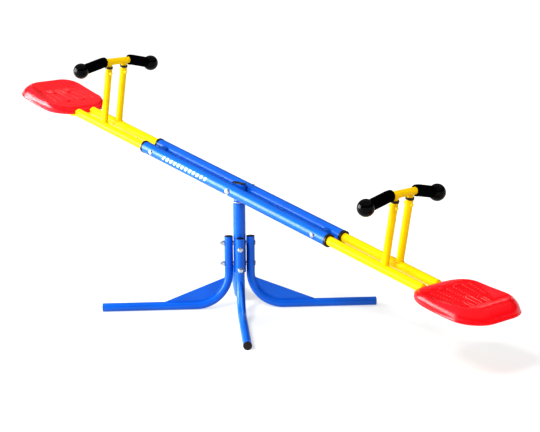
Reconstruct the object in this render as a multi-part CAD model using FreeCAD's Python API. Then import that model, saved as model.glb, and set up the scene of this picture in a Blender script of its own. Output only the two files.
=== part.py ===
import FreeCAD, Part
import math
import os

# A garden seesaw that rocks and also turns on its post.  Millimetres, +Z up.  The origin is on the
# ground on the post's axis.  +X runs along the beam towards the seat that is down.

# Base: a post with four bent legs bolted round it.
TUBE_WALL = 1.5
POST_D = 38.1
POST_BOTTOM = 119.0
POST_TOP = 341.5
LEG_D = 26.0
LEG_GAP = 2.0
LEG_TOP = 233.0
LEG_REACH = 428.5
LEG_BEND_R = 104.0
LEG_AZIMUTHS = {"right": 51.86, "back": 141.86, "left": -128.14, "front": -38.14}
GUSSET_T = 4.0
GUSSET_TOP = 100.5
GUSSET_REACH = 235.0
LEG_FREE_FROM = 240.0
SIDE_BOLT_HEIGHTS = (211.5, 146.0)
FRONT_BOLT_HEIGHTS = (200.0, 134.3)
PLUG_FLANGE_T = 2.5
PLUG_DEPTH = 14.0

# Swivel: a tube that turns in the post and carries the beam.
PIVOT_HEIGHT = 381.2
SWIVEL_D = 31.8
SWIVEL_BOTTOM = 222.0
HEAD_ROUND_TOP = 347.0
HEAD_FLAT_BOTTOM = 360.0
HEAD_TOP = 400.0
HEAD_T = 20.0
HEAD_TUBE_D = 42.4
CAP_T = 2.5
RUN_CLEARANCE = 0.05
BUSH_FLANGE_T = 2.0
SLIP = 0.1

# Beam: two sleeve tubes side by side, with a thinner arm in each end.
BEAM_TILT = 10.45
SLEEVE_D = 38.1
SLEEVE_LENGTH = 864.0
TUBE_SPACING = 60.4
ARM_D = 28.0
ARM_INNER_END = 330.0
ARM_ROUND_END = 812.0
ARM_FLAT_START = 828.0
ARM_END = 990.0
ARM_FLAT_T = 9.0
ARM_BUSH_LENGTH = 18.0
COLLAR_D = 40.0
COLLAR_LIP = 8.0
COLLAR_SPIGOT = 22.0
SLEEVE_BOLT_AT = 385.0
PIVOT_BOLT_D = 10.0
BOLT_D = 8.0

# Handles: two uprights and one bar over each arm pair.
HANDLE_AT = 664.0
UPRIGHT_D = 22.0
UPRIGHT_TOP = 200.0
STEM_COLLAR_D = 25.0
STEM_COLLAR_H = 6.5
STEM_BOLT_AT = 186.0
STEM_BOTTOM = 160.0
BAR_HEIGHT = 222.5
BAR_STRAIGHT = 48.0
BAR_BEND_R = 80.0
BAR_DROOP = 13.2
BALL_AT = 143.0
BALL_D = 50.0
GRIP_D = 34.0
STEM_BOLT_D = 5.0

# Seats: a thin moulded shell on four bosses, bolted to the flattened arm ends.
# A section is its level, front, back, half widths and corner radii at the front and the back.
SEAT_SECTIONS = ((-12.0, 800.0, 1105.0, 98.0, 139.0, 90.0, 92.0),
                 (20.0, 832.0, 1071.0, 110.5, 112.5, 58.0, 71.0),
                 (58.0, 872.0, 1029.0, 118.0, 80.0, 24.0, 46.0))
SEAT_WALL = 3.5
DISH_SECTIONS = ((24.0, 862.0, 994.0, 105.0, 63.0, 40.0, 30.0),
                 (58.0, 794.0, 1062.0, 173.0, 131.0, 108.0, 98.0))
NOTCH_GAP = 0.5
SEAT_BOLT_AT = (876.0, 962.0)
SEAT_BOLT_D = 6.0
BOSS_D = 17.0
CREST_LINE = ((800.0, 0.0), (814.0, 9.0), (828.0, 15.0), (848.0, 20.0), (872.0, 24.0), (915.0, 27.0),
              (960.0, 32.0), (1010.0, 39.5), (1040.0, 44.0), (1110.0, 53.0))
RIM_LINE = ((780.0, 0.0), (825.0, -3.0), (890.0, -6.0), (980.0, -0.5), (1075.0, 9.0), (1120.0, 13.0))

# Fasteners: shank diameter is above; these are the heads, nuts and washers.
HEAD_M10 = (10.0, 5.5)
HEAD_M8 = (8.0, 4.5)
HEAD_M6 = (6.5, 3.2)
HEAD_M5 = (5.0, 5.0)
NUT_M10 = (17.0, 9.0)
NUT_M8 = (13.0, 6.5)
NUT_M6 = (10.0, 5.0)
CAP_NUT = (5.0, 7.5)
WASHER_T = 1.6
SPACER_R = 6.5
GAP_SPACER_R = 14.0

# What follows from them.
LEG_OFFSET = POST_D / 2 + LEG_GAP + LEG_D / 2
LEG_OUTER = LEG_OFFSET + LEG_D / 2
SIDE = TUBE_SPACING / 2
FLOOR_TOP = DISH_SECTIONS[0][0]
ARM_FLAT_TOP = ARM_FLAT_T - ARM_D / 2
ARM_FLAT_W = ARM_FLAT_T + math.pi * (ARM_D - ARM_FLAT_T) / 2
HEAD_W = HEAD_T + math.pi * (HEAD_TUBE_D - HEAD_T) / 2

X = FreeCAD.Vector(1, 0, 0)
Y = FreeCAD.Vector(0, 1, 0)
Z = FreeCAD.Vector(0, 0, 1)


def vec(x, y, z):
    return FreeCAD.Vector(x, y, z)


def rod(radius, start, end):
    """A round bar from start to end."""
    return Part.makeCylinder(radius, (end - start).Length, start, end - start)


def pipe(outer, inner, start, end):
    """A round tube from start to end."""
    return rod(outer, start, end).cut(rod(inner, start, end))


def joined(shapes):
    """Touching shapes as one solid."""
    whole = shapes[0].multiFuse(shapes[1:])
    return whole.removeSplitter()


def save(node, solids):
    """Write one node's solids as one STEP file."""
    Part.makeCompound(solids).exportStep(f"parts/{node}.step")


def on_leg(shape, azimuth):
    """Turn a shape from the XZ plane to a leg's own direction."""
    turned = shape.copy()
    turned.rotate(vec(0, 0, 0), Z, azimuth)
    return turned


def on_beam(shape, end=1):
    """Put a shape from the level beam's frame, origin on the pivot, on the tilted beam."""
    placed = shape.copy()
    if end < 0:
        placed.rotate(vec(0, 0, 0), Z, 180)
    placed.rotate(vec(0, 0, 0), Y, BEAM_TILT)
    placed.translate(vec(0, 0, PIVOT_HEIGHT))
    return placed


def dome(radius, height, seat, direction):
    """A round bolt head: a spherical cap standing on a short rim."""
    rim = height * 0.3
    rise = height - rim
    ball = (radius**2 + rise**2) / (2 * rise)
    base = rod(radius, seat, seat + direction * rim)
    top = seat + direction * rim
    cap = Part.makeSphere(ball, top + direction * (rise - ball))
    cap = cap.common(rod(radius, top, top + direction * (height + 1)))
    return joined([base, cap])


def hex_nut(size, bore, seat, direction):
    """A hexagon nut with its face on seat."""
    across, height = size
    radius = across / math.sqrt(3)
    side = direction.cross(X if abs(direction.x) < 0.9 else Y).normalize()
    points = []
    for k in range(7):
        turn = FreeCAD.Rotation(direction, 60 * k)
        points.append(seat + turn.multVec(side) * radius)
    body = Part.Face(Part.makePolygon(points)).extrude(direction * height)
    return body.cut(rod(bore, seat - direction, seat + direction * (height + 1)))


# ---------------------------------------------------------------- base
def leg_path():
    """A leg's centre line: down, round one bend and out along the ground.

    Its last stretch, clear of the gusset, is where a ground anchor goes over the tube.
    """
    centre = vec(LEG_OFFSET + LEG_BEND_R, 0, LEG_D / 2 + LEG_BEND_R)
    top = vec(LEG_OFFSET, 0, LEG_TOP)
    bend_in = vec(LEG_OFFSET, 0, centre.z)
    bend_out = vec(centre.x, 0, LEG_D / 2)
    middle = centre + vec(-1, 0, -1).normalize() * LEG_BEND_R
    free = vec(LEG_FREE_FROM, 0, LEG_D / 2)
    foot = vec(LEG_REACH, 0, LEG_D / 2)
    return Part.Wire([
        Part.LineSegment(top, bend_in).toShape(),
        Part.Arc(bend_in, middle, bend_out).toShape(),
        Part.LineSegment(bend_out, free).toShape(),
        Part.LineSegment(free, foot).toShape(),
    ])


def swept(path, outer, inner, start, direction):
    """A tube of two radii along a path, or a bar where inner is 0."""
    shell = path.makePipeShell([Part.Wire(Part.Circle(start, direction, outer).toShape())], True, False)
    if inner == 0:
        return shell
    core = path.makePipeShell([Part.Wire(Part.Circle(start, direction, inner).toShape())], True, False)
    return shell.cut(core)


def leg_tube(heights):
    """A bent leg with its two bolt holes."""
    tube = swept(leg_path(), LEG_D / 2, LEG_D / 2 - TUBE_WALL, vec(LEG_OFFSET, 0, LEG_TOP), Z)
    for height in heights:
        tube = tube.cut(rod(BOLT_D / 2 + SLIP, vec(0, 0, height), vec(LEG_OUTER + 1, 0, height)))
    return tube


def gusset():
    """The triangular web welded inside a leg's bend."""
    leg = swept(leg_path(), LEG_D / 2, 0, vec(LEG_OFFSET, 0, LEG_TOP), Z)
    corner = vec(LEG_OFFSET, -GUSSET_T / 2, LEG_D / 2)
    outline = Part.makePolygon([
        corner,
        vec(LEG_OFFSET, -GUSSET_T / 2, GUSSET_TOP + 5),
        vec(LEG_OUTER, -GUSSET_T / 2, GUSSET_TOP),
        vec(GUSSET_REACH, -GUSSET_T / 2, LEG_D),
        vec(GUSSET_REACH, -GUSSET_T / 2, LEG_D / 2),
        corner,
    ])
    web = Part.Face(outline).extrude(vec(0, GUSSET_T, 0)).cut(leg)
    return max(web.Solids, key=lambda piece: piece.BoundBox.XMax)


def plug(seat, direction, outer, inner):
    """A push-in end plug: a low domed flange on a spigot."""
    head = dome(outer, PLUG_FLANGE_T, seat, direction)
    spigot = pipe(inner, inner - TUBE_WALL, seat - direction * PLUG_DEPTH, seat)
    return joined([head, spigot])


def through_bolt(head_side, nut_side, radius, head):
    """A long bolt: domed head at one end, threaded end at the other."""
    along = (nut_side - head_side).normalize()
    shank = rod(radius, head_side, nut_side)
    return joined([shank, dome(head[0], head[1], head_side, along * -1)])


def build_base():
    bore = POST_D / 2 - TUBE_WALL
    post = pipe(POST_D / 2, bore, vec(0, 0, POST_BOTTOM), vec(0, 0, POST_TOP))
    legs = {"right": SIDE_BOLT_HEIGHTS, "left": SIDE_BOLT_HEIGHTS}
    legs.update({"front": FRONT_BOLT_HEIGHTS, "back": FRONT_BOLT_HEIGHTS})
    spacers = []
    washers = []
    nuts = []
    bolts = {"side": [], "front": []}
    # The side pair runs from the right leg to the left one, and the front pair from front to back.
    pairs = {"side": ("right", SIDE_BOLT_HEIGHTS), "front": ("front", FRONT_BOLT_HEIGHTS)}
    for pair, (head_leg, heights) in pairs.items():
        azimuth = LEG_AZIMUTHS[head_leg]
        for height in heights:
            hole = rod(BOLT_D / 2 + SLIP, vec(-POST_D, 0, height), vec(POST_D, 0, height))
            post = post.cut(on_leg(hole, azimuth))
            head = vec(LEG_OUTER, 0, height)
            far = vec(-LEG_OUTER, 0, height)
            tip = far - X * 13
            bolts[pair].append(on_leg(through_bolt(head, tip, BOLT_D / 2, HEAD_M8), azimuth))
            washer = pipe(HEAD_M8[0], BOLT_D / 2 + SLIP, far - X * WASHER_T, far)
            washers.append(on_leg(washer, azimuth))
            nut = hex_nut(NUT_M8, BOLT_D / 2 + SLIP, far - X * WASHER_T, X * -1)
            nuts.append(on_leg(nut, azimuth))
            for sign in (1, -1):
                inner = vec(sign * POST_D / 2, 0, height)
                outer = vec(sign * (POST_D / 2 + LEG_GAP), 0, height)
                spacers.append(on_leg(pipe(SPACER_R, BOLT_D / 2 + SLIP, inner, outer), azimuth))
    save("post", [post])
    save("side_bolts", bolts["side"])
    save("front_bolts", bolts["front"])
    save("base_washers", washers)
    save("base_nuts", nuts)
    save("leg_spacers", spacers)

    inner = LEG_D / 2 - TUBE_WALL
    top_plugs = []
    foot_plugs = []
    for name, azimuth in LEG_AZIMUTHS.items():
        save(f"leg_{name}", [on_leg(leg_tube(legs[name]), azimuth)])
        save(f"gusset_{name}", [on_leg(gusset(), azimuth)])
        top_plugs.append(on_leg(plug(vec(LEG_OFFSET, 0, LEG_TOP), Z, LEG_D / 2, inner), azimuth))
        foot_plugs.append(on_leg(plug(vec(LEG_REACH, 0, LEG_D / 2), X, LEG_D / 2, inner), azimuth))
    save("leg_top_plugs", top_plugs)
    save("leg_foot_plugs", foot_plugs)

    run = SWIVEL_D / 2 + RUN_CLEARANCE
    upper = pipe(bore, run, vec(0, 0, POST_TOP - 30), vec(0, 0, POST_TOP))
    flange = pipe(POST_D / 2, run, vec(0, 0, POST_TOP), vec(0, 0, POST_TOP + BUSH_FLANGE_T))
    save("upper_bush", [joined([upper, flange])])
    floor = SWIVEL_BOTTOM - 4
    cup = pipe(bore, run, vec(0, 0, floor), vec(0, 0, SWIVEL_BOTTOM + 18))
    pad = rod(bore, vec(0, 0, floor), vec(0, 0, SWIVEL_BOTTOM - RUN_CLEARANCE))
    save("thrust_bush", [joined([cup, pad])])


# ---------------------------------------------------------------- swivel
def oval(width, thick, height, level):
    """A closed outline with straight sides and round ends, as four edges."""
    flat = (width - thick) / 2
    r = thick / 2
    a = vec(flat, -r, level + height)
    b = vec(flat, r, level + height)
    c = vec(-flat, r, level + height)
    d = vec(-flat, -r, level + height)
    return Part.Wire([
        Part.Arc(a, vec(flat + r, 0, level + height), b).toShape(),
        Part.LineSegment(b, c).toShape(),
        Part.Arc(c, vec(-flat - r, 0, level + height), d).toShape(),
        Part.LineSegment(d, a).toShape(),
    ])


def quarter_circle_wire(radius, centre, flat_angle, plane):
    """A circle cut into four arcs, to pair with an outline of two sides and two ends."""
    marks = [-flat_angle, 0, flat_angle, 90, 180 - flat_angle, 180, 180 + flat_angle, 270]
    places = []
    for mark in marks:
        u = radius * math.cos(math.radians(mark))
        v = radius * math.sin(math.radians(mark))
        places.append(centre + plane[0] * u + plane[1] * v)
    places.append(places[0])
    edges = []
    for k in range(0, 8, 2):
        edges.append(Part.Arc(places[k], places[k + 1], places[k + 2]).toShape())
    return Part.Wire(edges)


def head_solid(inset):
    """The swivel tube's top from round to flat, drawn in by inset all round."""
    girdle = quarter_circle_wire(SWIVEL_D / 2 - inset, vec(0, 0, HEAD_ROUND_TOP), 50, (X, Y))
    low = oval(HEAD_W - 2 * inset, HEAD_T - 2 * inset, 0, HEAD_FLAT_BOTTOM)
    high = oval(HEAD_W - 2 * inset, HEAD_T - 2 * inset, 0, HEAD_TOP)
    swage = Part.makeLoft([girdle, low], True, True)
    flat = Part.makeLoft([low, high], True, True)
    stem = rod(SWIVEL_D / 2 - inset, vec(0, 0, SWIVEL_BOTTOM), vec(0, 0, HEAD_ROUND_TOP))
    return joined([stem, swage, flat])


def build_swivel():
    bush_r = PIVOT_BOLT_D / 2 + 2
    pivot = vec(0, 0, PIVOT_HEIGHT)
    tube = head_solid(0).cut(head_solid(TUBE_WALL))
    tube = tube.cut(rod(bush_r, pivot - Y * HEAD_T, pivot + Y * HEAD_T))
    save("swivel_tube", [tube])

    rim = HEAD_T / 2
    top = oval(HEAD_W, HEAD_T, 0, HEAD_TOP)
    lid = Part.Face(top).extrude(Z * CAP_T)
    spigot_wire = oval(HEAD_W - 2 * TUBE_WALL, HEAD_T - 2 * TUBE_WALL, -6, HEAD_TOP)
    spigot = Part.Face(spigot_wire).extrude(Z * 6)
    cap = joined([lid, spigot])
    save("swivel_cap", [cap.makeFillet(CAP_T * 0.6, highest_edges(cap))])

    sleeve = pipe(bush_r, PIVOT_BOLT_D / 2 + RUN_CLEARANCE, pivot - Y * rim, pivot + Y * rim)
    collars = [sleeve]
    for side in (1, -1):
        face = pivot + Y * (side * rim)
        collars.append(pipe(bush_r + 3, PIVOT_BOLT_D / 2 + RUN_CLEARANCE, face, face + Y * (side * 0.8)))
    save("pivot_bush", [joined(collars)])


def highest_edges(shape):
    """The edges of a shape's top face."""
    top = shape.BoundBox.ZMax
    return [edge for edge in shape.Edges if edge.BoundBox.ZMin > top - 0.01]


# ---------------------------------------------------------------- beam
def build_sleeves():
    half = SLEEVE_LENGTH / 2
    inner = SLEEVE_D / 2 - TUBE_WALL
    for name, side in (("near", -1), ("far", 1)):
        line = Y * (side * SIDE)
        tube = pipe(SLEEVE_D / 2, inner, line - X * half, line + X * half)
        holes = [rod(PIVOT_BOLT_D / 2 + SLIP, line - Y * SLEEVE_D, line + Y * SLEEVE_D)]
        for end in (1, -1):
            at = line + X * (end * SLEEVE_BOLT_AT)
            holes.append(rod(BOLT_D / 2 + SLIP, at - Y * SLEEVE_D, at + Y * SLEEVE_D))
        for hole in holes:
            tube = tube.cut(hole)
        save(f"sleeve_{name}", [on_beam(tube)])
        # The moulded collar at each end fills the step from sleeve to arm.
        for end_name, end in (("low", 1), ("high", -1)):
            mouth = line + X * (end * half)
            lip = pipe(COLLAR_D / 2, ARM_D / 2 + SLIP, mouth, mouth + X * (end * COLLAR_LIP))
            spigot = pipe(inner - SLIP, ARM_D / 2 + SLIP, mouth - X * (end * COLLAR_SPIGOT), mouth)
            save(f"collar_{name}_{end_name}", [on_beam(joined([lip, spigot]))])


def arm_solid(inset):
    """An arm from its inner end to its flattened seat end, drawn in by inset all round."""
    r = ARM_D / 2 - inset
    start = ARM_INNER_END
    end = ARM_END
    if inset > 0:
        start = start - 1
        end = end + 1
    round_part = rod(r, vec(start, 0, 0), vec(ARM_ROUND_END, 0, 0))
    girdle = quarter_circle_wire(r, vec(ARM_ROUND_END, 0, 0), 50, (Y, Z))
    flats = []
    for at in (ARM_FLAT_START, end):
        wire = oval(ARM_FLAT_W - 2 * inset, ARM_FLAT_T - 2 * inset, 0, 0)
        # Stand the outline across the arm, with its flat side level.
        wire.rotate(vec(0, 0, 0), vec(1, 1, 1), 120)
        wire.translate(vec(at, 0, ARM_FLAT_T / 2 - ARM_D / 2))
        flats.append(wire)
    shoulder = Part.makeLoft([girdle, flats[0]], True, True)
    flat = Part.makeLoft(flats, True, True)
    return joined([round_part, shoulder, flat])


def build_arms():
    bushes = []
    for name, side in (("near", -1), ("far", 1)):
        for end_name, end in (("low", 1), ("high", -1)):
            arm = arm_solid(0).cut(arm_solid(TUBE_WALL))
            cross = vec(SLEEVE_BOLT_AT, 0, 0)
            arm = arm.cut(rod(BOLT_D / 2 + SLIP, cross - Y * ARM_D, cross + Y * ARM_D))
            for at in SEAT_BOLT_AT:
                arm = arm.cut(rod(SEAT_BOLT_D / 2 + SLIP, vec(at, 0, -ARM_D), vec(at, 0, ARM_D)))
            arm.translate(Y * (side * end * SIDE))
            save(f"arm_{name}_{end_name}", [on_beam(arm, end)])
            # A nylon bush centres the arm's inner end in the sleeve.
            start = vec(ARM_INNER_END, side * SIDE, 0)
            bush = pipe(SLEEVE_D / 2 - TUBE_WALL, ARM_D / 2 + SLIP, start, start + X * ARM_BUSH_LENGTH)
            bushes.append(on_beam(bush, end))
    save("arm_bushes", bushes)


def build_beam_bolts():
    outer = SIDE + SLEEVE_D / 2
    near = Y * -outer
    far = Y * outer
    pivot = through_bolt(near, far + Y * 14, PIVOT_BOLT_D / 2, HEAD_M10)
    save("pivot_bolt", [on_beam(pivot)])
    washers = [on_beam(pipe(HEAD_M10[0], PIVOT_BOLT_D / 2 + SLIP, far, far + Y * WASHER_T))]
    save("pivot_nut", [on_beam(hex_nut(NUT_M10, PIVOT_BOLT_D / 2 + SLIP, far + Y * WASHER_T, Y))])
    bolts = []
    nuts = []
    spacers = []
    gap = SIDE - SLEEVE_D / 2
    for end in (1, -1):
        at = X * (end * SLEEVE_BOLT_AT)
        bolts.append(on_beam(through_bolt(near + at, far + at + Y * 12, BOLT_D / 2, HEAD_M8)))
        washers.append(on_beam(pipe(HEAD_M8[0], BOLT_D / 2 + SLIP, far + at, far + at + Y * WASHER_T)))
        nuts.append(on_beam(hex_nut(NUT_M8, BOLT_D / 2 + SLIP, far + at + Y * WASHER_T, Y)))
        spacers.append(on_beam(pipe(GAP_SPACER_R, BOLT_D / 2 + SLIP, at - Y * gap, at + Y * gap)))
    save("sleeve_bolts", bolts)
    save("beam_washers", washers)
    save("sleeve_nuts", nuts)
    save("sleeve_spacers", spacers)


# ---------------------------------------------------------------- handles
def bar_path(inner_end, outer_end):
    """Half of a handlebar's centre line between two distances across, in the YZ plane."""
    droop = math.radians(BAR_DROOP)
    bend = vec(0, BAR_STRAIGHT, BAR_HEIGHT)
    centre = bend - Z * BAR_BEND_R
    middle = centre + vec(0, math.sin(droop / 2), math.cos(droop / 2)) * BAR_BEND_R
    after = centre + vec(0, math.sin(droop), math.cos(droop)) * BAR_BEND_R
    fall = math.tan(droop)
    end = vec(0, outer_end, after.z - (outer_end - after.y) * fall)
    edges = []
    if inner_end < BAR_STRAIGHT:
        edges.append(Part.LineSegment(vec(0, inner_end, BAR_HEIGHT), bend).toShape())
    edges.append(Part.Arc(bend, middle, after).toShape())
    edges.append(Part.LineSegment(after, end).toShape())
    return Part.Wire(edges), end


def bar_half(inner_end, outer_end, outer_r, inner_r):
    """Half of a bar or grip along the centre line."""
    path, _ = bar_path(inner_end, outer_end)
    return swept(path, outer_r, inner_r, vec(0, inner_end, BAR_HEIGHT), Y)


def mirrored(shape):
    """The same shape on the near side."""
    return shape.mirror(vec(0, 0, 0), Y)


def build_handles():
    bar_r = UPRIGHT_D / 2
    stem_r = bar_r - TUBE_WALL - SLIP
    ball_end = bar_path(0, BALL_AT)[1]
    arm_r = ARM_D / 2
    for end_name, end in (("low", 1), ("high", -1)):
        half = bar_half(0, BALL_AT, bar_r, bar_r - TUBE_WALL)
        pieces = [half, mirrored(half)]
        bolts = []
        nuts = []
        stem_collars = []
        for side in (-1, 1):
            line = Y * (side * SIDE)
            foot = line + Z * (arm_r * 0.6)
            tube = rod(bar_r, foot, line + Z * UPRIGHT_TOP)
            tube = tube.cut(rod(bar_r - TUBE_WALL, foot, line + Z * UPRIGHT_TOP))
            tube = tube.cut(rod(arm_r, line - X * SLEEVE_D, line + X * SLEEVE_D))
            bolt_line = line + Z * STEM_BOLT_AT
            hole = rod(STEM_BOLT_D / 2 + SLIP, bolt_line - X * UPRIGHT_D, bolt_line + X * UPRIGHT_D)
            tube = tube.cut(hole)
            tube.translate(X * HANDLE_AT)
            side_name = "near" if side * end < 0 else "far"
            save(f"upright_{side_name}_{end_name}", [on_beam(tube, end)])
            stem = rod(stem_r, line + Z * STEM_BOTTOM, line + Z * BAR_HEIGHT)
            pieces.append(stem.cut(hole))
            collar = pipe(STEM_COLLAR_D / 2, stem_r + SLIP, line + Z * UPRIGHT_TOP,
                          line + Z * (UPRIGHT_TOP + STEM_COLLAR_H))
            collar.translate(X * HANDLE_AT)
            stem_collars.append(on_beam(collar, end))
            tip = bolt_line - X * (bar_r + 6)
            bolt = through_bolt(bolt_line + X * bar_r, tip, STEM_BOLT_D / 2, HEAD_M5)
            bolt.translate(X * HANDLE_AT)
            bolts.append(on_beam(bolt, end))
            cover = dome(CAP_NUT[0], CAP_NUT[1], bolt_line - X * bar_r, X * -1)
            cover = cover.cut(rod(STEM_BOLT_D / 2 + SLIP, bolt_line - X * bar_r, tip - X * 0.3))
            cover.translate(X * HANDLE_AT)
            nuts.append(on_beam(cover, end))
        bore = bar_half(0, BALL_AT, bar_r - TUBE_WALL, 0)
        bar = joined(pieces).cut(bore).cut(mirrored(bore))
        bar.translate(X * HANDLE_AT)
        save(f"handlebar_{end_name}", [on_beam(bar, end)])
        save(f"stem_collars_{end_name}", stem_collars)
        save(f"stem_bolts_{end_name}", bolts)
        save(f"stem_nuts_{end_name}", nuts)

        ball = Part.makeSphere(BALL_D / 2, ball_end)
        # The ball is bored for the bar, and its inner side is cut square for the foam.
        droop = math.radians(BAR_DROOP)
        along = vec(0, math.cos(droop), -math.sin(droop))
        face = ball_end - along * (BALL_D / 2 - 5)
        ball = ball.cut(rod(bar_r, face - along * BALL_D, ball_end))
        ball = ball.cut(rod(BALL_D, face - along * BALL_D, face))
        foam = bar_half(BAR_STRAIGHT, face.y, GRIP_D / 2, bar_r)
        for part, node in ((ball, "ball_ends"), (foam, "foam_grips")):
            both = []
            for half_part in (part, mirrored(part)):
                half_part.translate(X * HANDLE_AT)
                both.append(on_beam(half_part, end))
            save(f"{node}_{end_name}", both)


# ---------------------------------------------------------------- seats
def rounded_outline(section, grow):
    """A section's four-sided outline with round corners, drawn out by grow all round."""
    level, front, back, half_front, half_back, radius_front, radius_back = section
    front = front - grow
    back = back + grow
    half_front = half_front + grow
    half_back = half_back + grow
    radii = [radius_front + grow, radius_back + grow, radius_back + grow, radius_front + grow]
    corners = [vec(front, -half_front, level), vec(back, -half_back, level)]
    corners += [vec(back, half_back, level), vec(front, half_front, level)]
    edges = []
    ends = []
    for k in range(4):
        here = corners[k]
        before = (corners[k - 1] - here).normalize()
        after = (corners[(k + 1) % 4] - here).normalize()
        half_turn = before.getAngle(after) / 2
        run = radii[k] / math.tan(half_turn)
        bisector = (before + after).normalize()
        centre = here + bisector * (radii[k] / math.sin(half_turn))
        ends.append((here + before * run, centre - bisector * radii[k], here + after * run))
    for k in range(4):
        start, middle, finish = ends[k]
        edges.append(Part.Arc(start, middle, finish).toShape())
        edges.append(Part.LineSegment(finish, ends[(k + 1) % 4][0]).toShape())
    return Part.Wire(edges)


def skirt_solid(inset):
    """The seat's outside, drawn in by inset all round and running up past the crest."""
    outlines = [rounded_outline(section, -inset) for section in SEAT_SECTIONS]
    return Part.makeLoft(outlines, True, False)


def dish_solid(grow):
    """The hollow of the seat: a flat floor with walls that lean out to the crest."""
    floor = rounded_outline(DISH_SECTIONS[0], grow)
    floor.translate(Z * -grow)
    return Part.makeLoft([floor, rounded_outline(DISH_SECTIONS[1], grow)], True, True)


def under(line, drop):
    """Everything under a line along the seat, lowered by drop, across its whole width."""
    points = [vec(a, 0, c - drop) for a, c in line]
    curve = Part.BSplineCurve()
    curve.interpolate(points)
    first = points[0]
    last = points[-1]
    floor = SEAT_SECTIONS[0][0] - 5
    outline = Part.Wire([
        curve.toShape(),
        Part.LineSegment(last, vec(last.x, 0, floor)).toShape(),
        Part.LineSegment(vec(last.x, 0, floor), vec(first.x, 0, floor)).toShape(),
        Part.LineSegment(vec(first.x, 0, floor), first).toShape(),
    ])
    face = Part.Face(outline)
    reach = 2 * SEAT_SECTIONS[0][4]
    face.translate(Y * -reach)
    return face.extrude(Y * (2 * reach))


def seat_shell():
    outer = skirt_solid(0).common(under(CREST_LINE, 0)).cut(dish_solid(0)).cut(under(RIM_LINE, 0))
    hollow = skirt_solid(SEAT_WALL).common(under(CREST_LINE, SEAT_WALL)).cut(dish_solid(SEAT_WALL))
    bosses = []
    holes = []
    for at in SEAT_BOLT_AT:
        for side in (1, -1):
            line = vec(at, side * SIDE, 0)
            bosses.append(rod(BOSS_D / 2, line + Z * ARM_FLAT_TOP, line + Z * (FLOOR_TOP - 1)))
            holes.append(rod(SEAT_BOLT_D / 2 + SLIP, line - Z * ARM_D, line + Z * (FLOOR_TOP + 10)))
    seat = joined([outer.cut(hollow)] + bosses)
    # The front of the skirt is notched round the two arms that run in under it.
    arm_room = arm_solid(-NOTCH_GAP)
    for side in (1, -1):
        notch = arm_room.copy()
        notch.translate(Y * (side * SIDE))
        holes.append(notch)
    for hole in holes:
        seat = seat.cut(hole)
    return seat


def build_seats():
    under = -ARM_D / 2
    for end_name, end in (("low", 1), ("high", -1)):
        save(f"seat_{end_name}", [on_beam(seat_shell(), end)])
        bolts = []
        nuts = []
        for at in SEAT_BOLT_AT:
            for side in (1, -1):
                line = vec(at, side * SIDE, 0)
                bolt = through_bolt(line + Z * FLOOR_TOP, line + Z * (under - 9), SEAT_BOLT_D / 2, HEAD_M6)
                bolts.append(on_beam(bolt, end))
                nut = hex_nut(NUT_M6, SEAT_BOLT_D / 2 + SLIP, line + Z * under, Z * -1)
                nuts.append(on_beam(nut, end))
        save(f"seat_bolts_{end_name}", bolts)
        save(f"seat_nuts_{end_name}", nuts)


os.makedirs("parts", exist_ok=True)
build_base()
build_swivel()
build_sleeves()
build_arms()
build_beam_bolts()
build_handles()
build_seats()
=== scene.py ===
import math

import bmesh
import bpy
from mathutils import Euler, Matrix, Quaternion, Vector, noise


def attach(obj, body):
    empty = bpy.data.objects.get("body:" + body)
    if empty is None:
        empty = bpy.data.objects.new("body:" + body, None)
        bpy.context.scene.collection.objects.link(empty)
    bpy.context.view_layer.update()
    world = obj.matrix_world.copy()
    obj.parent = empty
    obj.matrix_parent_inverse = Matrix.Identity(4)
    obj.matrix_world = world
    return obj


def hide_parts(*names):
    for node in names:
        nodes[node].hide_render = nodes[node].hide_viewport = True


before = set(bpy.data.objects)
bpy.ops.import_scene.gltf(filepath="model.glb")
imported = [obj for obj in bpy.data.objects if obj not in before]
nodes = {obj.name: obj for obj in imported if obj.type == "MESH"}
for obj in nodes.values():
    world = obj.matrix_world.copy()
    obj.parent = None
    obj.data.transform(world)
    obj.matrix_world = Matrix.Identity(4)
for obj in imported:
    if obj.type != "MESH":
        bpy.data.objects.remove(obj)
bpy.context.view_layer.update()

# ---------------------------------------------------------------- camera, floor and lights
# A long lens a little above the beam and a plain white floor with no edge in view.  A soft sun
# comes from the near side, a large white panel stands front left and a faint one back left.
LENS = 106.5
SENSOR = 36.0
CAMERA_PLACE = (3.6497, -3.1513, 1.4269)
CAMERA_AIM = Vector((0.0636, 0.0708, 0.2962))
CAMERA_ROLL = math.radians(-0.36)
SKY_BANDS = ((0.0, 1.0), (0.12, 1.0), (0.20, 0.025), (0.48, 0.025), (0.68, 0.50))
SUN_POWER = 1.9
SUN_SPREAD = math.radians(14)
SUN_WAY = Vector((-0.22, 0.69, -0.69))
FLOOR_REACH = 30.0
FLOOR_GREY = (0.40, 0.40, 0.40, 1.0)
FLOOR_GLOW = 0.40
WHITE = (1.0, 1.0, 1.0, 1.0)

scene = bpy.context.scene
camera = bpy.data.objects.new("camera", bpy.data.cameras.new("camera"))
scene.collection.objects.link(camera)
camera.data.lens = LENS
camera.data.sensor_width = SENSOR
camera.location = CAMERA_PLACE
camera.rotation_mode = "QUATERNION"
camera_way = CAMERA_AIM - camera.location
camera.rotation_quaternion = camera_way.to_track_quat("-Z", "Y") @ Quaternion((0, 0, 1), CAMERA_ROLL)
scene.camera = camera
scene.view_settings.view_transform = "Standard"
scene.view_settings.look = "High Contrast"

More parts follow.
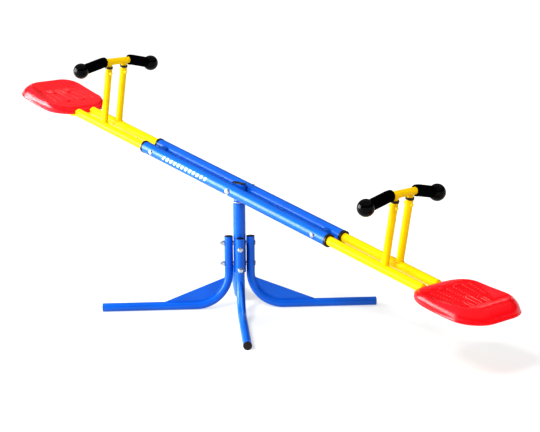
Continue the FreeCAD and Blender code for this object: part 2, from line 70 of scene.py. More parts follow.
# The sky is white overhead and along the horizon and dark between, so only upward faces mirror it.
sky = bpy.data.worlds.new("sky")
sky.use_nodes = True
sky_tree = sky.node_tree
sky_place = sky_tree.nodes.new("ShaderNodeTexCoord")
sky_parts = sky_tree.nodes.new("ShaderNodeSeparateXYZ")
sky_ramp = sky_tree.nodes.new("ShaderNodeValToRGB")
for _ in SKY_BANDS[2:]:
    sky_ramp.color_ramp.elements.new(0.5)
for element, (rise, white) in zip(sky_ramp.color_ramp.elements, SKY_BANDS):
    element.position = rise
    element.color = (white, white, white, 1.0)
sky_tree.links.new(sky_place.outputs["Generated"], sky_parts.inputs["Vector"])
sky_tree.links.new(sky_parts.outputs["Z"], sky_ramp.inputs["Fac"])
sky_tree.links.new(sky_ramp.outputs["Color"], sky_tree.nodes["Background"].inputs["Color"])
sky_tree.nodes["Background"].inputs["Strength"].default_value = 1.0
scene.world = sky


def light(name, kind, power, way):
    """A lamp that shines along a direction."""
    made = bpy.data.objects.new(name, bpy.data.lights.new(name, kind))
    scene.collection.objects.link(made)
    made.data.energy = power
    made.rotation_mode = "QUATERNION"
    made.rotation_quaternion = way.to_track_quat("-Z", "Y")
    return made


def light_panel(name, width, height, power, place, way):
    """A white panel of light, in metres."""
    made = light(name, "AREA", power, way)
    made.data.shape = "RECTANGLE"
    made.data.size = width
    made.data.size_y = height
    made.location = place


sun = light("sun", "SUN", SUN_POWER, SUN_WAY)
sun.data.angle = SUN_SPREAD
sun.visible_glossy = False
light_panel("front_panel", 3.6, 2.3, 230.0, (-2.6, -2.8, 1.2), Vector((2.6, 2.8, -0.9)))
light_panel("back_panel", 2.4, 1.4, 2.0, (-3.4, 1.4, 1.8), Vector((3.4, -1.4, -1.5)))

floor_mesh = bpy.data.meshes.new("floor")
floor_corners = [(x * FLOOR_REACH, y * FLOOR_REACH, 0.0) for x, y in ((-1, -1), (1, -1), (1, 1), (-1, 1))]
floor_mesh.from_pydata(floor_corners, [], [(0, 1, 2, 3)])
floor = bpy.data.objects.new("floor", floor_mesh)
scene.collection.objects.link(floor)
floor_white = bpy.data.materials.new("floor_white")
floor_white.use_nodes = True
floor_finish = floor_white.node_tree.nodes["Principled BSDF"].inputs
floor_finish["Base Color"].default_value = FLOOR_GREY
floor_finish["Roughness"].default_value = 0.85
floor_finish["Specular IOR Level"].default_value = 0.1
floor_finish["Emission Color"].default_value = WHITE
floor_finish["Emission Strength"].default_value = FLOOR_GLOW
floor_mesh.materials.append(floor_white)


# ---------------------------------------------------------------- base
# Post, four bent legs and their webs: welded steel tube and plate, powder coated blue.  The coat
# has a fine orange peel, pools a little darker in patches and is glossy.
def finish_nodes(name, roughness, metallic=0.0):
    """A new material with its shader, its node tree and the object's own coordinates."""
    material = bpy.data.materials.new(name)
    material.use_nodes = True
    tree = material.node_tree
    shader = tree.nodes["Principled BSDF"]
    shader.inputs["Roughness"].default_value = roughness
    shader.inputs["Metallic"].default_value = metallic
    place = tree.nodes.new("ShaderNodeTexCoord")
    return material, tree, shader, place.outputs["Object"]


def noise_map(tree, place, scale, detail=2.0):
    """A noise pattern at so many lumps a metre."""
    pattern = tree.nodes.new("ShaderNodeTexNoise")
    pattern.inputs["Scale"].default_value = scale
    pattern.inputs["Detail"].default_value = detail
    tree.links.new(place, pattern.inputs["Vector"])
    return pattern.outputs["Fac"]


def two_tone(tree, pattern, shader, dark, pale):
    """The base colour runs from dark to pale with a pattern."""
    ramp = tree.nodes.new("ShaderNodeValToRGB")
    for element, at, colour in zip(ramp.color_ramp.elements, (0.35, 0.65), (dark, pale)):
        element.position = at
        element.color = (*colour, 1.0)
    tree.links.new(pattern, ramp.inputs["Fac"])
    tree.links.new(ramp.outputs["Color"], shader.inputs["Base Color"])


def rough_range(tree, pattern, shader, low, high):
    """The roughness runs from low to high with a pattern."""
    spread = tree.nodes.new("ShaderNodeMapRange")
    for name, value in (("From Min", 0.3), ("From Max", 0.7), ("To Min", low), ("To Max", high)):
        spread.inputs[name].default_value = value
    tree.links.new(pattern, spread.inputs["Value"])
    tree.links.new(spread.outputs["Result"], shader.inputs["Roughness"])


def relief(tree, pattern, shader, strength, depth):
    """Fine bumps from a pattern, depth in metres."""
    bump = tree.nodes.new("ShaderNodeBump")
    bump.inputs["Strength"].default_value = strength
    bump.inputs["Distance"].default_value = depth
    tree.links.new(pattern, bump.inputs["Height"])
    tree.links.new(bump.outputs["Normal"], shader.inputs["Normal"])


def powder_coat(name, dark, pale, shine):
    """Glossy powder coat over steel."""
    material, tree, shader, place = finish_nodes(name, 0.3)
    two_tone(tree, noise_map(tree, place, 9.0, 4.0), shader, dark, pale)
    rough_range(tree, noise_map(tree, place, 40.0, 3.0), shader, 0.30, 0.38)
    relief(tree, noise_map(tree, place, 420.0, 1.0), shader, 0.015, 0.0005)
    shader.inputs["Specular IOR Level"].default_value = shine
    return material


def paint(material, *names):
    """Gives CAD nodes their finish."""
    for name in names:
        node = nodes[name]
        for slot in node.material_slots:
            slot.material = material
        if not node.material_slots:
            node.data.materials.append(material)


LEG_NAMES = ("right", "back", "left", "front")
blue_coat = powder_coat("blue_powder_coat", (0.001, 0.112, 0.50), (0.002, 0.132, 0.58), 0.5)
paint(blue_coat, "post")
for leg in LEG_NAMES:
    paint(blue_coat, f"leg_{leg}", f"gusset_{leg}")

# Weld beads: a fillet of overlapping ripples each side of every web, where it meets its leg.
# They are laid by hand, so their width wanders a little, and they are coated with the leg.
MM = 0.001
LEG_AZIMUTHS = {"right": 51.86, "back": 141.86, "left": -128.14, "front": -38.14}
BEND_CENTRE = (138.05, 117.0)
BEND_INSIDE = 90.7
BEND_START = 190.5
BEND_SWEEP = 79.5
BEND_STEPS = 45
STRAIGHT_STEPS = 37
WEB_END = 232.0
BEAD_SIDE = 2.7
BEAD_R = 1.9
BEAD_WANDER = 0.25
BEAD_SIDES = 8
BEAD_TAPER = 0.35
RIPPLE = 3.2
RIPPLE_SHARE = 0.22
WANDER_PITCH = 90.0


def bead_mesh(points, closed, radius, wander):
    """A rippled round bead along points, in metres."""
    verts = []
    faces = []
    around = BEAD_SIDES
    count = len(points)
    run = 0.0
    for i, point in enumerate(points):
        before = points[i - 1] if i > 0 or closed else points[i]
        after = points[(i + 1) % count] if i < count - 1 or closed else points[i]
        along = (after - before).normalized()
        across = along.cross(Vector((0.3, 0.2, 1.0))).normalized()
        up = across.cross(along)
        if i > 0:
            run = run + (point - points[i - 1]).length
        ripple = abs(math.sin(math.pi * run / (RIPPLE * MM)))
        swell = wander * noise.noise(point * WANDER_PITCH)
        size = radius * (1.0 - RIPPLE_SHARE + RIPPLE_SHARE * ripple + swell)
        if not closed and i in (0, count - 1):
            size = size * BEAD_TAPER
        for k in range(around):
            turn = 2 * math.pi * k / around
            verts.append(point + (across * math.cos(turn) + up * math.sin(turn)) * size)
    for i in range(count if closed else count - 1):
        a = i * around
        b = (i + 1) % count * around
        for k in range(around):
            k2 = (k + 1) % around
            faces.append((a + k, a + k2, b + k2, b + k))
    if not closed:
        faces.append(tuple(reversed(range(around))))
        faces.append(tuple((count - 1) * around + k for k in range(around)))
    return verts, faces


def outward_mesh(name, verts, faces):
    """A mesh whose faces all look outwards."""
    mesh = bpy.data.meshes.new(name)
    mesh.from_pydata(verts, [], faces)
    work = bmesh.new()
    work.from_mesh(mesh)
    bmesh.ops.recalc_face_normals(work, faces=work.faces)
    work.to_mesh(mesh)
    work.free()
    return mesh


def make_piece(name, verts, faces, material, body, slot, smooth=True):
    """A mesh piece that rides on a body, in the given material; slot is not used."""
    mesh = outward_mesh(name, verts, faces)
    mesh.materials.append(material)
    if smooth:
        mesh.shade_smooth()
    piece = bpy.data.objects.new(name, mesh)
    scene.collection.objects.link(piece)
    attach(piece, body)
    return piece


def together(parts):
    """Several lists of verts and faces as one."""
    verts = []
    faces = []
    for more_verts, more_faces in parts:
        start = len(verts)
        verts.extend(more_verts)
        faces.extend(tuple(start + k for k in face) for face in more_faces)
    return verts, faces


for leg, azimuth in LEG_AZIMUTHS.items():
    turn = Matrix.Rotation(math.radians(azimuth), 3, "Z")
    beads = []
    for side in (BEAD_SIDE, -BEAD_SIDE):
        line = []
        for k in range(BEND_STEPS + 1):
            angle = math.radians(BEND_START + BEND_SWEEP * k / BEND_STEPS)
            x = BEND_CENTRE[0] + BEND_INSIDE * math.cos(angle)
            line.append((x, BEND_CENTRE[1] + BEND_INSIDE * math.sin(angle)))
        for k in range(1, STRAIGHT_STEPS + 1):
            x = BEND_CENTRE[0] + (WEB_END - BEND_CENTRE[0]) * k / STRAIGHT_STEPS
            line.append((x, BEND_CENTRE[1] - BEND_INSIDE))
        points = [turn @ Vector((x, side, z)) * MM for x, z in line]
        beads.append(bead_mesh(points, False, BEAD_R * MM, BEAD_WANDER))
    make_piece(f"web_weld_{leg}", *together(beads), blue_coat, "base", "blue_paint")


# ---------------------------------------------------------------- moulded plugs, collars and bushes
# Push-in plugs in the leg ends, collars where a thin tube leaves a thick one, and the swivel's cap
# are moulded in near-black plastic.  The bushes are natural nylon, and pale.
def moulded(name, dark, pale, rough_low, rough_high, grain):
    """Injection moulded plastic with a faint spark-eroded grain."""
    material, tree, shader, place = finish_nodes(name, rough_high)
    two_tone(tree, noise_map(tree, place, 30.0, 3.0), shader, dark, pale)
    rough_range(tree, noise_map(tree, place, 120.0, 2.0), shader, rough_low, rough_high)
    relief(tree, noise_map(tree, place, 1500.0, 2.0), shader, grain, 0.0003)
    return material


dark_plastic = moulded("dark_moulded_plastic", (0.010, 0.006, 0.006), (0.018, 0.011, 0.010),
                       0.32, 0.45, 0.25)
nylon = moulded("natural_nylon", (0.62, 0.58, 0.50), (0.72, 0.68, 0.60), 0.35, 0.5, 0.15)
paint(dark_plastic, "leg_top_plugs", "leg_foot_plugs", "swivel_cap",
      "stem_collars_low", "stem_collars_high")
for side in ("near", "far"):
    for end in ("low", "high"):
        paint(dark_plastic, f"collar_{side}_{end}")
paint(nylon, "upper_bush", "thrust_bush", "pivot_bush", "arm_bushes")

# ---------------------------------------------------------------- fasteners
# Zinc plated domed bolts, plain washers and hexagon nuts.  The plating is bright, faintly brushed
# from tumbling, with duller grey patches.
zinc_plate, tree, shader, place = finish_nodes("zinc_plate", 0.3, metallic=1.0)
two_tone(tree, noise_map(tree, place, 160.0, 4.0), shader, (0.52, 0.53, 0.55), (0.80, 0.81, 0.82))
rough_range(tree, noise_map(tree, place, 300.0, 2.0), shader, 0.2, 0.42)
relief(tree, noise_map(tree, place, 2500.0, 2.0), shader, 0.2, 0.0001)
paint(zinc_plate, "base_washers", "base_nuts", "side_bolts", "front_bolts", "leg_spacers",
      "pivot_bolt", "pivot_nut", "beam_washers", "sleeve_bolts", "sleeve_nuts",
      "seat_bolts_low", "seat_bolts_high", "seat_nuts_low", "seat_nuts_high")

# ---------------------------------------------------------------- swivel and sleeves
# The swivel tube turns in the post and its flattened head holds the pivot bolt.  Two thick sleeve
# tubes hang on that bolt side by side.  All are steel in the same blue coat.
paint(blue_coat, "swivel_tube", "sleeve_near", "sleeve_far", "sleeve_spacers")

# A plain printed flash on the near sleeve: white slanting bars of vinyl, laid on the coat.
PIVOT_HEIGHT = 381.2
BEAM_TILT = math.radians(10.45)
SLEEVE_R = 19.05
SLEEVE_SIDE = 30.2
FLASH_FROM = -325.0
FLASH_PITCH = 19.0
FLASH_BARS = 12
FLASH_BAR = 9.0
FLASH_LEAN = 6.0
FLASH_ARC = (172.0, 208.0)
FLASH_STEPS = 8
VINYL_T = 0.12
VINYL_LIFT = 0.02


def on_beam(x, y, z, end=1):
    """A point of the level beam, in millimetres from its pivot, in metres on the tilted beam."""
    point = Vector((x * end, y * end, z))
    point.rotate(Euler((0.0, BEAM_TILT, 0.0)))
    return (point + Vector((0.0, 0.0, PIVOT_HEIGHT))) * MM


white_vinyl = moulded("white_vinyl", (0.78, 0.80, 0.83), (0.88, 0.89, 0.90), 0.3, 0.4, 0.1)
bars = []
for bar in range(FLASH_BARS):
    start = FLASH_FROM + FLASH_PITCH * bar
    verts = []
    for radius in (SLEEVE_R + VINYL_T, SLEEVE_R + VINYL_LIFT):
        for k in range(FLASH_STEPS + 1):
            part = k / FLASH_STEPS
            angle = math.radians(FLASH_ARC[0] + (FLASH_ARC[1] - FLASH_ARC[0]) * part)
            y = -SLEEVE_SIDE + radius * math.cos(angle)
            z = -radius * math.sin(angle)
            lean = FLASH_LEAN * part
            verts.append(on_beam(start + lean, y, z))
            verts.append(on_beam(start + lean + FLASH_BAR, y, z))
    faces = []
    low = 2 * (FLASH_STEPS + 1)
    for k in range(FLASH_STEPS):
        a = 2 * k
        faces.append((a, a + 1, a + 3, a + 2))
        faces.append((low + a, low + a + 2, low + a + 3, low + a + 1))
        faces.append((a, a + 2, low + a + 2, low + a))
        faces.append((a + 1, low + a + 1, low + a + 3, a + 3))
    last = 2 * FLASH_STEPS
    faces.append((0, low, low + 1, 1))
    faces.append((last, last + 1, low + last + 1, low + last))
    bars.append((verts, faces))
make_piece("sleeve_flash", *together(bars), white_vinyl, "beam", "nylon", smooth=False)

# ---------------------------------------------------------------- arms and handles
# Thinner arms slide out of the sleeves and carry an upright pair and a handlebar at each end.
# They are welded steel tube, powder coated yellow.
yellow_coat = powder_coat("yellow_powder_coat", (0.84, 0.57, 0.002), (0.90, 0.62, 0.003), 0.15)
yellow_plastic = moulded("yellow_cap_plastic", (0.78, 0.55, 0.01), (0.86, 0.63, 0.015), 0.28, 0.4, 0.2)
for end in ("low", "high"):
    paint(yellow_coat, f"handlebar_{end}")
    paint(yellow_plastic, f"stem_nuts_{end}", f"stem_bolts_{end}")
    for side in ("near", "far"):
        paint(yellow_coat, f"arm_{side}_{end}", f"upright_{side}_{end}")

# The weld round each upright's foot follows the saddle that it makes on the round arm, and a
# second bead closes each stem under the bar.
HANDLE_AT = 664.0
ARM_R = 14.0
BAR_R = 11.0
STEM_R = 9.4
BAR_HEIGHT = 222.5
SADDLE_STEPS = 96
FOOT_BEAD_R = 2.0
NECK_BEAD_R = 1.4
HANDLE_WANDER = 0.3


def saddle(around_r, on_r, height, lift):
    """A closed line where an upright tube meets a lying one, as offsets from the tubes' crossing."""
    line = []
    for k in range(SADDLE_STEPS):
        turn = 2 * math.pi * k / SADDLE_STEPS
        u = around_r * math.cos(turn)
        v = around_r * math.sin(turn)
        line.append((u, v, height + lift * math.sqrt(max(on_r**2 - v**2, 0.0))))
    return line


for end_name, end in (("low", 1), ("high", -1)):
    beads = []
    for side in (SLEEVE_SIDE, -SLEEVE_SIDE):
        foot = saddle(BAR_R + 0.8, ARM_R + 0.4, 0.0, 1)
        foot = [on_beam(HANDLE_AT + u, side + v, z, end) for u, v, z in foot]
        beads.append(bead_mesh(foot, True, FOOT_BEAD_R * MM, HANDLE_WANDER))
        neck = saddle(STEM_R + 0.5, BAR_R + 0.3, BAR_HEIGHT, -1)
        neck = [on_beam(HANDLE_AT + v, side + u, z, end) for u, v, z in neck]
        beads.append(bead_mesh(neck, True, NECK_BEAD_R * MM, HANDLE_WANDER))
    make_piece(f"handle_welds_{end_name}", *together(beads), yellow_coat, "beam", "yellow_paint")

# ---------------------------------------------------------------- grips and ball ends
# Closed-cell foam tubes are pushed over the drooping ends of each bar.  They are matt, soft at the
# edges and a little lumpy, and a hard glossy ball on the bar's end stops them.
BAR_STRAIGHT = 48.0
BAR_BEND_R = 80.0
BAR_DROOP = math.radians(13.2)
GRIP_END = 123.2
GRIP_R = 17.0
GRIP_BORE_R = 11.15
GRIP_SHRINK = 0.15
GRIP_EDGE = 4.0
GRIP_STEPS = 30
BORE_STEPS = 20
AROUND = 48
SKIN_FROM_R = 14.0
LUMP = 0.16
LUMP_ALONG = 0.09
LUMP_ROUND = 1.3
FOAM_EDGE = ((0.0, GRIP_BORE_R), (0.0, 14.2), (0.5, 15.6), (1.6, 16.6), (3.4, 17.0))


def bar_line(y):
    """Height and slope of the bar's centre line at a distance across from the beam's middle."""
    bend_end = BAR_STRAIGHT + BAR_BEND_R * math.sin(BAR_DROOP)
    if y < bend_end:
        angle = math.asin((y - BAR_STRAIGHT) / BAR_BEND_R)
        return BAR_HEIGHT - BAR_BEND_R * (1 - math.cos(angle)), angle
    drop = BAR_BEND_R * (1 - math.cos(BAR_DROOP))
    return BAR_HEIGHT - drop - (y - bend_end) * math.tan(BAR_DROOP), BAR_DROOP


foam, tree, shader, place = finish_nodes("closed_cell_foam", 0.9)
two_tone(tree, noise_map(tree, place, 700.0, 3.0), shader, (0.0008, 0.0008, 0.0008), (0.003, 0.003, 0.003))
rough_range(tree, noise_map(tree, place, 60.0, 2.0), shader, 0.75, 0.95)
cells = tree.nodes.new("ShaderNodeTexVoronoi")
cells.inputs["Scale"].default_value = 1300.0
tree.links.new(place, cells.inputs["Vector"])
relief(tree, cells.outputs["Distance"], shader, 0.5, 0.0004)
shader.inputs["Specular IOR Level"].default_value = 0.04

ball_gloss, tree, shader, place = finish_nodes("black_gloss_plastic", 0.14)
two_tone(tree, noise_map(tree, place, 50.0, 2.0), shader, (0.001, 0.001, 0.001), (0.003, 0.003, 0.003))
rough_range(tree, noise_map(tree, place, 90.0, 2.0), shader, 0.10, 0.2)
relief(tree, noise_map(tree, place, 900.0, 1.0), shader, 0.06, 0.0003)
shader.inputs["Specular IOR Level"].default_value = 0.2

for end_name, end in (("low", 1), ("high", -1)):
    paint(ball_gloss, f"ball_ends_{end_name}")
    for side_name, side in (("right", 1), ("left", -1)):
        length = GRIP_END - BAR_STRAIGHT
        middle = length - 2 * GRIP_EDGE
        rings = list(FOAM_EDGE)
        rings += [(GRIP_EDGE + middle * k / GRIP_STEPS, GRIP_R) for k in range(GRIP_STEPS + 1)]
        rings += [(length - at, radius) for at, radius in reversed(FOAM_EDGE)]
        rings += [(length * k / BORE_STEPS, GRIP_BORE_R) for k in range(BORE_STEPS - 1, 0, -1)]
        verts = []
        for at, radius in rings:
            z, slope = bar_line(BAR_STRAIGHT + at)
            for k in range(AROUND):
                turn = 2 * math.pi * k / AROUND
                lump = 0.0
                if radius > SKIN_FROM_R:
                    spot = Vector((0.0, math.cos(turn), math.sin(turn))) * LUMP_ROUND
                    spot += Vector((at * LUMP_ALONG + end * 7, side * 3, 0.0))
                    lump = LUMP * noise.noise(spot)
                size = radius - GRIP_SHRINK + lump
                x = HANDLE_AT + size * math.cos(turn)
                up = size * math.sin(turn)
                y = BAR_STRAIGHT + at + up * math.sin(slope)
                verts.append(on_beam(x, side * y, z + up * math.cos(slope), end))
        faces = []
        for i in range(len(rings)):
            a = i * AROUND
            b = (i + 1) % len(rings) * AROUND
            for k in range(AROUND):
                k2 = (k + 1) % AROUND
                faces.append((a + k, a + k2, b + k2, b + k))
        grip = make_piece(f"foam_grip_{end_name}_{side_name}", verts, faces, foam, "beam", "foam")
        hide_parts(f"foam_grips_{end_name}")

# ---------------------------------------------------------------- seats
# Each seat is one thin moulding in glossy red plastic: a flat floor with grip pips and moulded
# loops, walls that grow towards the back, a rolled crest and a skirt that flares down and out to
# a thin lip.  Its front is notched over the two arms that run in under it.
SEAT_LOW = (0.0, 811.0, 1092.0, 102.5, 129.0, 78.0, 84.0)
SEAT_HIGH = (50.0, 864.0, 1038.0, 116.5, 86.5, 31.0, 51.0)
CREST_LINE = ((790.0, -6.0), (800.0, 0.0), (814.0, 9.0), (828.0, 15.0), (848.0, 20.0), (872.0, 24.0),
              (915.0, 27.0), (960.0, 32.0), (1010.0, 39.5), (1040.0, 44.0), (1110.0, 53.0))
RIM_LINE = ((780.0, 0.5), (825.0, -2.5), (890.0, -5.5), (980.0, 0.0), (1075.0, 9.5), (1120.0, 13.5))
CREST_ROLL = ((3.6, 0.25), (2.2, 0.75), (1.0, 1.6), (0.3, 2.8))
SKIRT_TOP = 3.6
SKIRT_STEPS = 14
SKIRT_BULGE = 4.2
BULGE_SPAN = 0.86
FLOOR_LEVEL = 24.0
FLOOR_PLAN = (862.0, 994.0, 105.0, 63.0)
SEAT_WALL = 3.2
SEAT_MIDDLE = (930.0, 0.0)
ARC_STEPS = 16
SIDE_STEPS = 14


def along(line, x):
    """The height of a smooth line at x."""
    if x <= line[0][0]:
        return line[0][1]
    for k in range(len(line) - 1):
        x0, z0 = line[k]
        x1, z1 = line[k + 1]
        if x <= x1:
            before = line[max(k - 1, 0)]
            after = line[min(k + 2, len(line) - 1)]
            m0 = (z1 - before[1]) / (x1 - before[0])
            m1 = (after[1] - z0) / (after[0] - x0)
            t = (x - x0) / (x1 - x0)
            h = x1 - x0
            first = (2 * t**3 - 3 * t**2 + 1) * z0 + (t**3 - 2 * t**2 + t) * h * m0
            return first + (3 * t**2 - 2 * t**3) * z1 + (t**3 - t**2) * h * m1
    return line[-1][1]


def plan_outline(section):
    """Points round a four-sided plan with round corners, always the same number of them."""
    _, front, back, half_front, half_back, r_front, r_back = section
    radii = (r_front, r_back, r_back, r_front)
    corners = [Vector((front, -half_front)), Vector((back, -half_back)),
               Vector((back, half_back)), Vector((front, half_front))]
    arcs = []
    for k in range(4):
        here = corners[k]
        before = (corners[k - 1] - here).normalized()
        after = (corners[(k + 1) % 4] - here).normalized()
        half_turn = before.angle(after) / 2
        centre = here + (before + after).normalized() * (radii[k] / math.sin(half_turn))
        first = here + before * (radii[k] / math.tan(half_turn)) - centre
        sweep = math.pi - 2 * half_turn
        turns = [Matrix.Rotation(sweep * j / ARC_STEPS, 2) for j in range(ARC_STEPS + 1)]
        arcs.append([centre + turn @ first for turn in turns])
    outline = []
    for k in range(4):
        outline.extend(arcs[k])
        start = arcs[k][-1]
        finish = arcs[(k + 1) % 4][0]
        outline.extend(start.lerp(finish, j / SIDE_STEPS) for j in range(1, SIDE_STEPS))
    return outline


def soft_most(values, softness):
    """The largest of some values, rounded over where two are close."""
    top = max(values)
    return top + softness * math.log(sum(math.exp((value - top) / softness) for value in values))


def past_floor(x, y):
    """How far a point lies outside the floor's edge, less than 0 inside it."""
    front, back, half_front, half_back = FLOOR_PLAN
    taper = (half_front - half_back) / (back - front)
    side = (abs(y) - (half_front - taper * (x - front))) / math.hypot(1.0, taper)
    return soft_most((x - back, side), 6.0)


def seat_height(x, share, foot, edge):
    """Height of the upper face between the middle, where share is 0, and the crest's edge."""
    climb = (share - foot) / (1.0 - foot)
    wall = max(edge - FLOOR_LEVEL, 0.0) * soft_most((0.0, climb), 0.035)
    return -soft_most((-(FLOOR_LEVEL + wall), -along(CREST_LINE, x)), 0.8)


def edge_points(line):
    """The seat's outer outline where its height follows a line along the seat."""
    low = plan_outline(SEAT_LOW)
    high = plan_outline(SEAT_HIGH)
    points = []
    for a, b in zip(low, high):
        level = 10.0
        for _ in range(8):
            at = a.lerp(b, level / SEAT_HIGH[0])
            level = along(line, at.x)
        points.append((at.x, at.y, level))
    return points


def seat_surface():
    """The seat's whole outer face: rings from the middle of the floor out to the lip."""
    crest = edge_points(CREST_LINE)
    rim = edge_points(RIM_LINE)
    low = plan_outline(SEAT_LOW)
    high = plan_outline(SEAT_HIGH)
    count = len(crest)
    feet = []
    for x, y, _ in crest:
        inner, outer = 0.0, 0.985
        for _ in range(24):
            share = (inner + outer) / 2
            if past_floor(SEAT_MIDDLE[0] + (x - SEAT_MIDDLE[0]) * share, y * share) > 0:
                outer = share
            else:
                inner = share
        feet.append(inner)
    verts = [(SEAT_MIDDLE[0], SEAT_MIDDLE[1], FLOOR_LEVEL)]
    rings = 0
    for share in [0.1 * k for k in range(1, 6)] + [0.5 + 0.02 * k for k in range(1, 24)]:
        for k in range(count):
            x, y, z = crest[k]
            px = SEAT_MIDDLE[0] + (x - SEAT_MIDDLE[0]) * share
            verts.append((px, y * share, seat_height(px, share, feet[k], z)))
        rings += 1
    # The crest is rolled over on a small radius.
    for inset, drop in CREST_ROLL:
        for k in range(count):
            x, y, z = crest[k]
            reach = math.hypot(x - SEAT_MIDDLE[0], y)
            share = (reach - inset) / reach
            px = SEAT_MIDDLE[0] + (x - SEAT_MIDDLE[0]) * share
            verts.append((px, y * share, seat_height(px, share, feet[k], z) - drop))
        rings += 1
    for step in range(1, SKIRT_STEPS + 1):
        part = step / SKIRT_STEPS
        for k in range(count):
            top = crest[k][2] - SKIRT_TOP
            level = top + (rim[k][2] - top) * part
            at = low[k].lerp(high[k], level / SEAT_HIGH[0])
            out = Vector((at.x - SEAT_MIDDLE[0], at.y - SEAT_MIDDLE[1])).normalized()
            bulge = SKIRT_BULGE * math.sin(math.pi * min(part / BULGE_SPAN, 1.0))
            at = at + out * bulge
            verts.append((at.x, at.y, level))
        rings += 1
    faces = [(0, 1 + k, 1 + (k + 1) % count) for k in range(count)]
    for ring in range(rings - 1):
        a = 1 + ring * count
        b = a + count
        for k in range(count):
            k2 = (k + 1) % count
            faces.append((a + k, b + k, b + k2, a + k2))
    return verts, faces


# Along the beam: where, half width, half height, middle's height and how square the corners are.
ARM_STATIONS = ((760.0, 14.7, 14.7, 0.0, 1.0), (812.0, 14.7, 14.7, 0.0, 1.0), (816.0, 15.8, 13.0, -1.7, 0.8),
                (820.0, 17.2, 10.4, -4.2, 0.65), (824.0, 18.8, 7.6, -7.2, 0.55),
                (828.0, 19.9, 5.1, -9.5, 0.5), (1004.0, 19.9, 5.1, -9.5, 0.5))


def arm_room(side):
    """The space round one arm where it runs in under the seat: round, then flattened."""
    verts = []
    faces = []
    around = 32
    for x, half, tall, middle, power in ARM_STATIONS:
        for k in range(around):
            turn = 2 * math.pi * k / around
            c, s = math.cos(turn), math.sin(turn)
            y = side + half * math.copysign(abs(c) ** power, c)
            z = middle + tall * math.copysign(abs(s) ** power, s)
            verts.append((x, y, z))
    for i in range(len(ARM_STATIONS) - 1):
        for k in range(around):
            k2 = (k + 1) % around
            a = i * around
            faces.append((a + k, a + k2, a + around + k2, a + around + k))
    faces.append(tuple(reversed(range(around))))
    faces.append(tuple((len(ARM_STATIONS) - 1) * around + k for k in range(around)))
    return verts, faces


def plain_object(name, verts, faces):
    """A working mesh, its verts in millimetres of the level beam."""
    mesh = outward_mesh(name, verts, faces)
    made = bpy.data.objects.new(name, mesh)
    scene.collection.objects.link(made)
    return made


DOME_SUNK = 0.4


def dome_mesh(x, y, z, radius, height, rings=3, around=12):
    """A low dome standing on the floor, with its foot sunk a little."""
    verts = []
    faces = []
    for ring in range(rings):
        tilt = math.pi / 2 * ring / rings
        reach = radius * math.cos(tilt)
        level = z + height * math.sin(tilt) - (DOME_SUNK if ring == 0 else 0.0)
        for k in range(around):
            turn = 2 * math.pi * k / around
            verts.append((x + reach * math.cos(turn), y + reach * math.sin(turn), level))
    verts.append((x, y, z + height))
    for ring in range(rings - 1):
        for k in range(around):
            k2 = (k + 1) % around
            a = ring * around
            faces.append((a + k, a + k2, a + around + k2, a + around + k))
    last = (rings - 1) * around
    faces.extend((last + k, last + (k + 1) % around, len(verts) - 1) for k in range(around))
    faces.append(tuple(reversed(range(around))))
    return verts, faces


seat_red, tree, shader, place = finish_nodes("glossy_red_plastic", 0.2)
two_tone(tree, noise_map(tree, place, 12.0, 3.0), shader, (0.84, 0.006, 0.014), (0.92, 0.010, 0.022))
rough_range(tree, noise_map(tree, place, 60.0, 3.0), shader, 0.24, 0.32)
relief(tree, noise_map(tree, place, 40.0, 1.0), shader, 0.05, 0.0004)
shader.inputs["Subsurface Weight"].default_value = 0.05
shader.inputs["Subsurface Radius"].default_value = (0.004, 0.001, 0.001)

# The moulding is made once on the level beam, given its thickness and cut for the arms.
shell = plain_object("seat_shell", *seat_surface())
skin = shell.modifiers.new("wall", "SOLIDIFY")
skin.thickness = SEAT_WALL
skin.offset = -1.0
skin.use_even_offset = True
cutters = []
for side in (SLEEVE_SIDE, -SLEEVE_SIDE):
    cutter = plain_object("arm_room", *arm_room(side))
    cut = shell.modifiers.new("notch", "BOOLEAN")
    cut.object = cutter
    cut.operation = "DIFFERENCE"
    cut.solver = "EXACT"
    cutters.append(cutter)
bpy.context.view_layer.update()
cut_shell = bpy.data.meshes.new_from_object(shell.evaluated_get(bpy.context.evaluated_depsgraph_get()))
shell_verts = [tuple(v.co) for v in cut_shell.vertices]
shell_faces = [tuple(p.vertices) for p in cut_shell.polygons]
for spare in (shell, *cutters):
    bpy.data.objects.remove(spare)

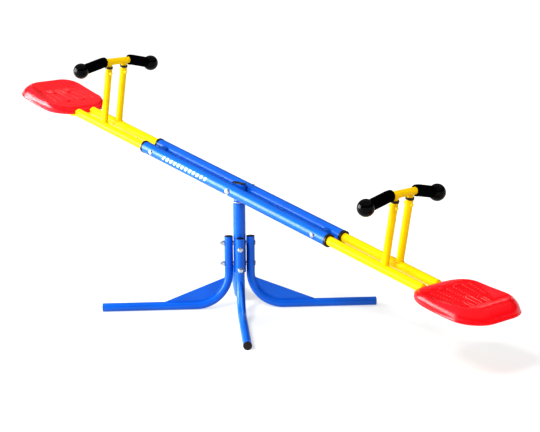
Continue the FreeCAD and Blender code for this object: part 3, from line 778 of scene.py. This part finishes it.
# Pips in rows along the floor between and outside the bolts, and three long loops behind them.
PIP_ROWS = (-76.0, -50.0, -14.0, 14.0, 50.0, 76.0)
PIP_FROM = 884.0
PIP_PITCH = 9.5
PIPS = 8
PIP_R = 1.9
PIP_H = 1.1
PIP_TAPER = 0.0022
LOOP_HALF_W = 1.3
LOOP_HALF_H = 0.9
LOOP_STEPS = 24
LOOP_SIDES = 8
pips = []
for row in PIP_ROWS:
    for k in range(PIPS):
        run = PIP_PITCH * k
        pips.append(dome_mesh(PIP_FROM + run, row * (1 - PIP_TAPER * run), FLOOR_LEVEL, PIP_R, PIP_H))
LOOPS = ((0.0, 950.0, 984.0, 9.0), (-34.0, 972.0, 992.0, 6.0), (34.0, 972.0, 992.0, 6.0))
for y0, x0, x1, half in LOOPS:
    line = []
    for x, start in ((x0, math.pi / 2), (x1, -math.pi / 2)):
        for k in range(LOOP_STEPS):
            turn = start + math.pi * k / (LOOP_STEPS - 1)
            line.append(Vector((x + half * math.cos(turn), y0 + half * math.sin(turn), FLOOR_LEVEL)))
    loop_verts = []
    loop_faces = []
    for i, point in enumerate(line):
        before, after = line[i - 1], line[(i + 1) % len(line)]
        side_way = (after - before).normalized().cross(Vector((0, 0, 1)))
        for k in range(LOOP_SIDES):
            turn = 2 * math.pi * k / LOOP_SIDES
            offset = side_way * LOOP_HALF_W * math.cos(turn) + Vector((0, 0, LOOP_HALF_H)) * math.sin(turn)
            loop_verts.append(tuple(point + offset))
    for i in range(len(line)):
        a, b = i * LOOP_SIDES, (i + 1) % len(line) * LOOP_SIDES
        for k in range(LOOP_SIDES):
            k2 = (k + 1) % LOOP_SIDES
            loop_faces.append((a + k, a + k2, b + k2, b + k))
    pips.append((loop_verts, loop_faces))
pip_verts, pip_faces = together(pips)
# The pips and loops are painted paler than the floor, a painted highlight for the light they catch on their
# tops.
pip_highlight_red = moulded("painted_highlight_red_plastic", (0.90, 0.10, 0.10), (0.95, 0.22, 0.20), 0.3, 0.4, 0.05)

# Four hollow bosses stand on the arms under the floor, and red caps snap over the bolt heads.
BOSS_AT = (876.0, 962.0)
BOSS_PROFILE = ((8.4, -4.6), (8.1, 21.2), (3.2, 21.2), (3.2, -4.6))
BOSS_SIDES = 28
CAP_R = 6.9
CAP_H = 3.5
caps = []
bosses = []
for x0 in BOSS_AT:
    for y0 in (SLEEVE_SIDE, -SLEEVE_SIDE):
        verts = []
        for radius, z in BOSS_PROFILE:
            for k in range(BOSS_SIDES):
                turn = 2 * math.pi * k / BOSS_SIDES
                verts.append((x0 + radius * math.cos(turn), y0 + radius * math.sin(turn), z))
        faces = []
        for i in range(4):
            a, b = i * BOSS_SIDES, (i + 1) % 4 * BOSS_SIDES
            for k in range(BOSS_SIDES):
                k2 = (k + 1) % BOSS_SIDES
                faces.append((a + k, a + k2, b + k2, b + k))
        bosses.append((verts, faces))
        caps.append(dome_mesh(x0, y0, FLOOR_LEVEL, CAP_R, CAP_H, rings=6, around=32))
boss_verts, boss_faces = together(bosses)
cap_verts, cap_faces = together(caps)

SEAT_PIECES = (("moulding", shell_verts, shell_faces, seat_red), ("pips", pip_verts, pip_faces, pip_highlight_red),
               ("bolt_caps", cap_verts, cap_faces, seat_red), ("bosses", boss_verts, boss_faces, seat_red))
for end_name, end in (("low", 1), ("high", -1)):
    for part_name, verts, faces, finish in SEAT_PIECES:
        placed = [on_beam(*v, end) for v in verts]
        piece = make_piece(f"seat_{part_name}_{end_name}", placed, faces, finish, "beam", "red_plastic")
        if part_name == "moulding":
            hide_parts(f"seat_{end_name}")
